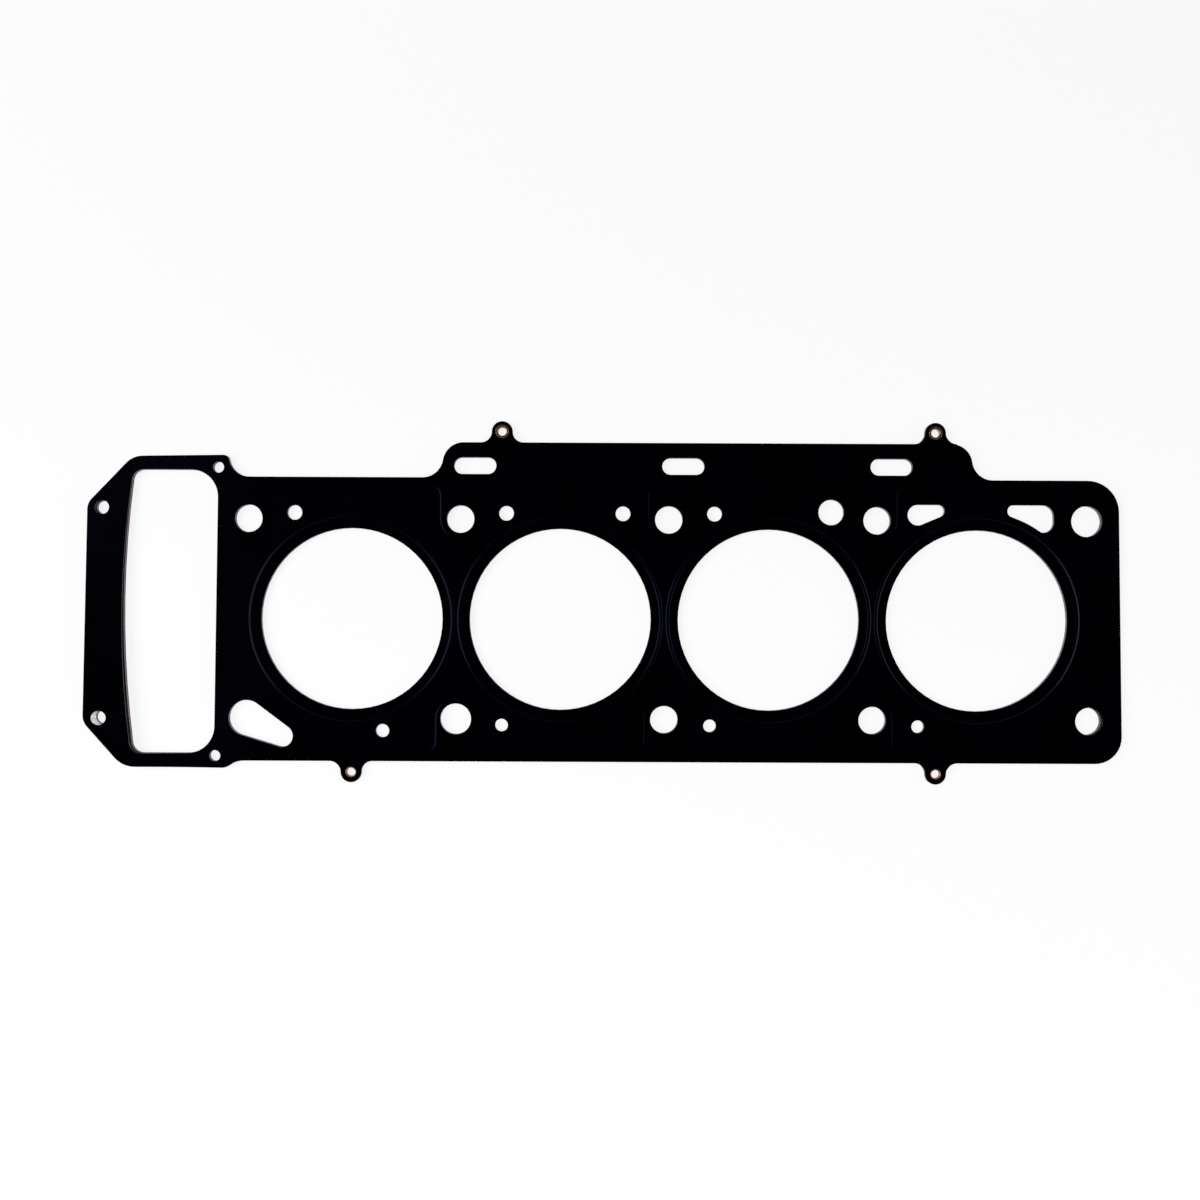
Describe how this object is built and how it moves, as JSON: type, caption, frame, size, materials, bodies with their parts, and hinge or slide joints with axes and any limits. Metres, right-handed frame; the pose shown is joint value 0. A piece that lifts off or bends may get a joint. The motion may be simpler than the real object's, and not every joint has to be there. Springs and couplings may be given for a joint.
{
  "type": "cylinder head gasket",
  "caption": "Flat multi-layer steel gasket that seals a cylinder head to its block, with beaded bores, bolt and coolant holes and a timing drive frame.",
  "frame": {"origin": "on the lower sealing face, which lies on the block, midway between the two middle bores", "axes": "+X along the row of bores, away from the timing frame; +Y across the bores, towards the land with the oil drains; +Z from the block to the head"},
  "size_m": [0.4967, 0.1737, 0.0065],
  "materials": {
    "coated_sheet": "spring steel with a thin satin black rubber coating",
    "plain_steel": "bare rolled steel",
    "eyelet_brass": "dull rolled brass"
  },
  "bodies": {
    "root": {"top_sheet": "coated_sheet", "spacer_plate": "plain_steel", "under_sheet": "coated_sheet", "eyelet_1": "eyelet_brass", "eyelet_2": "eyelet_brass", "eyelet_3": "eyelet_brass", "eyelet_4": "eyelet_brass"}
  },
  "joints": []
}
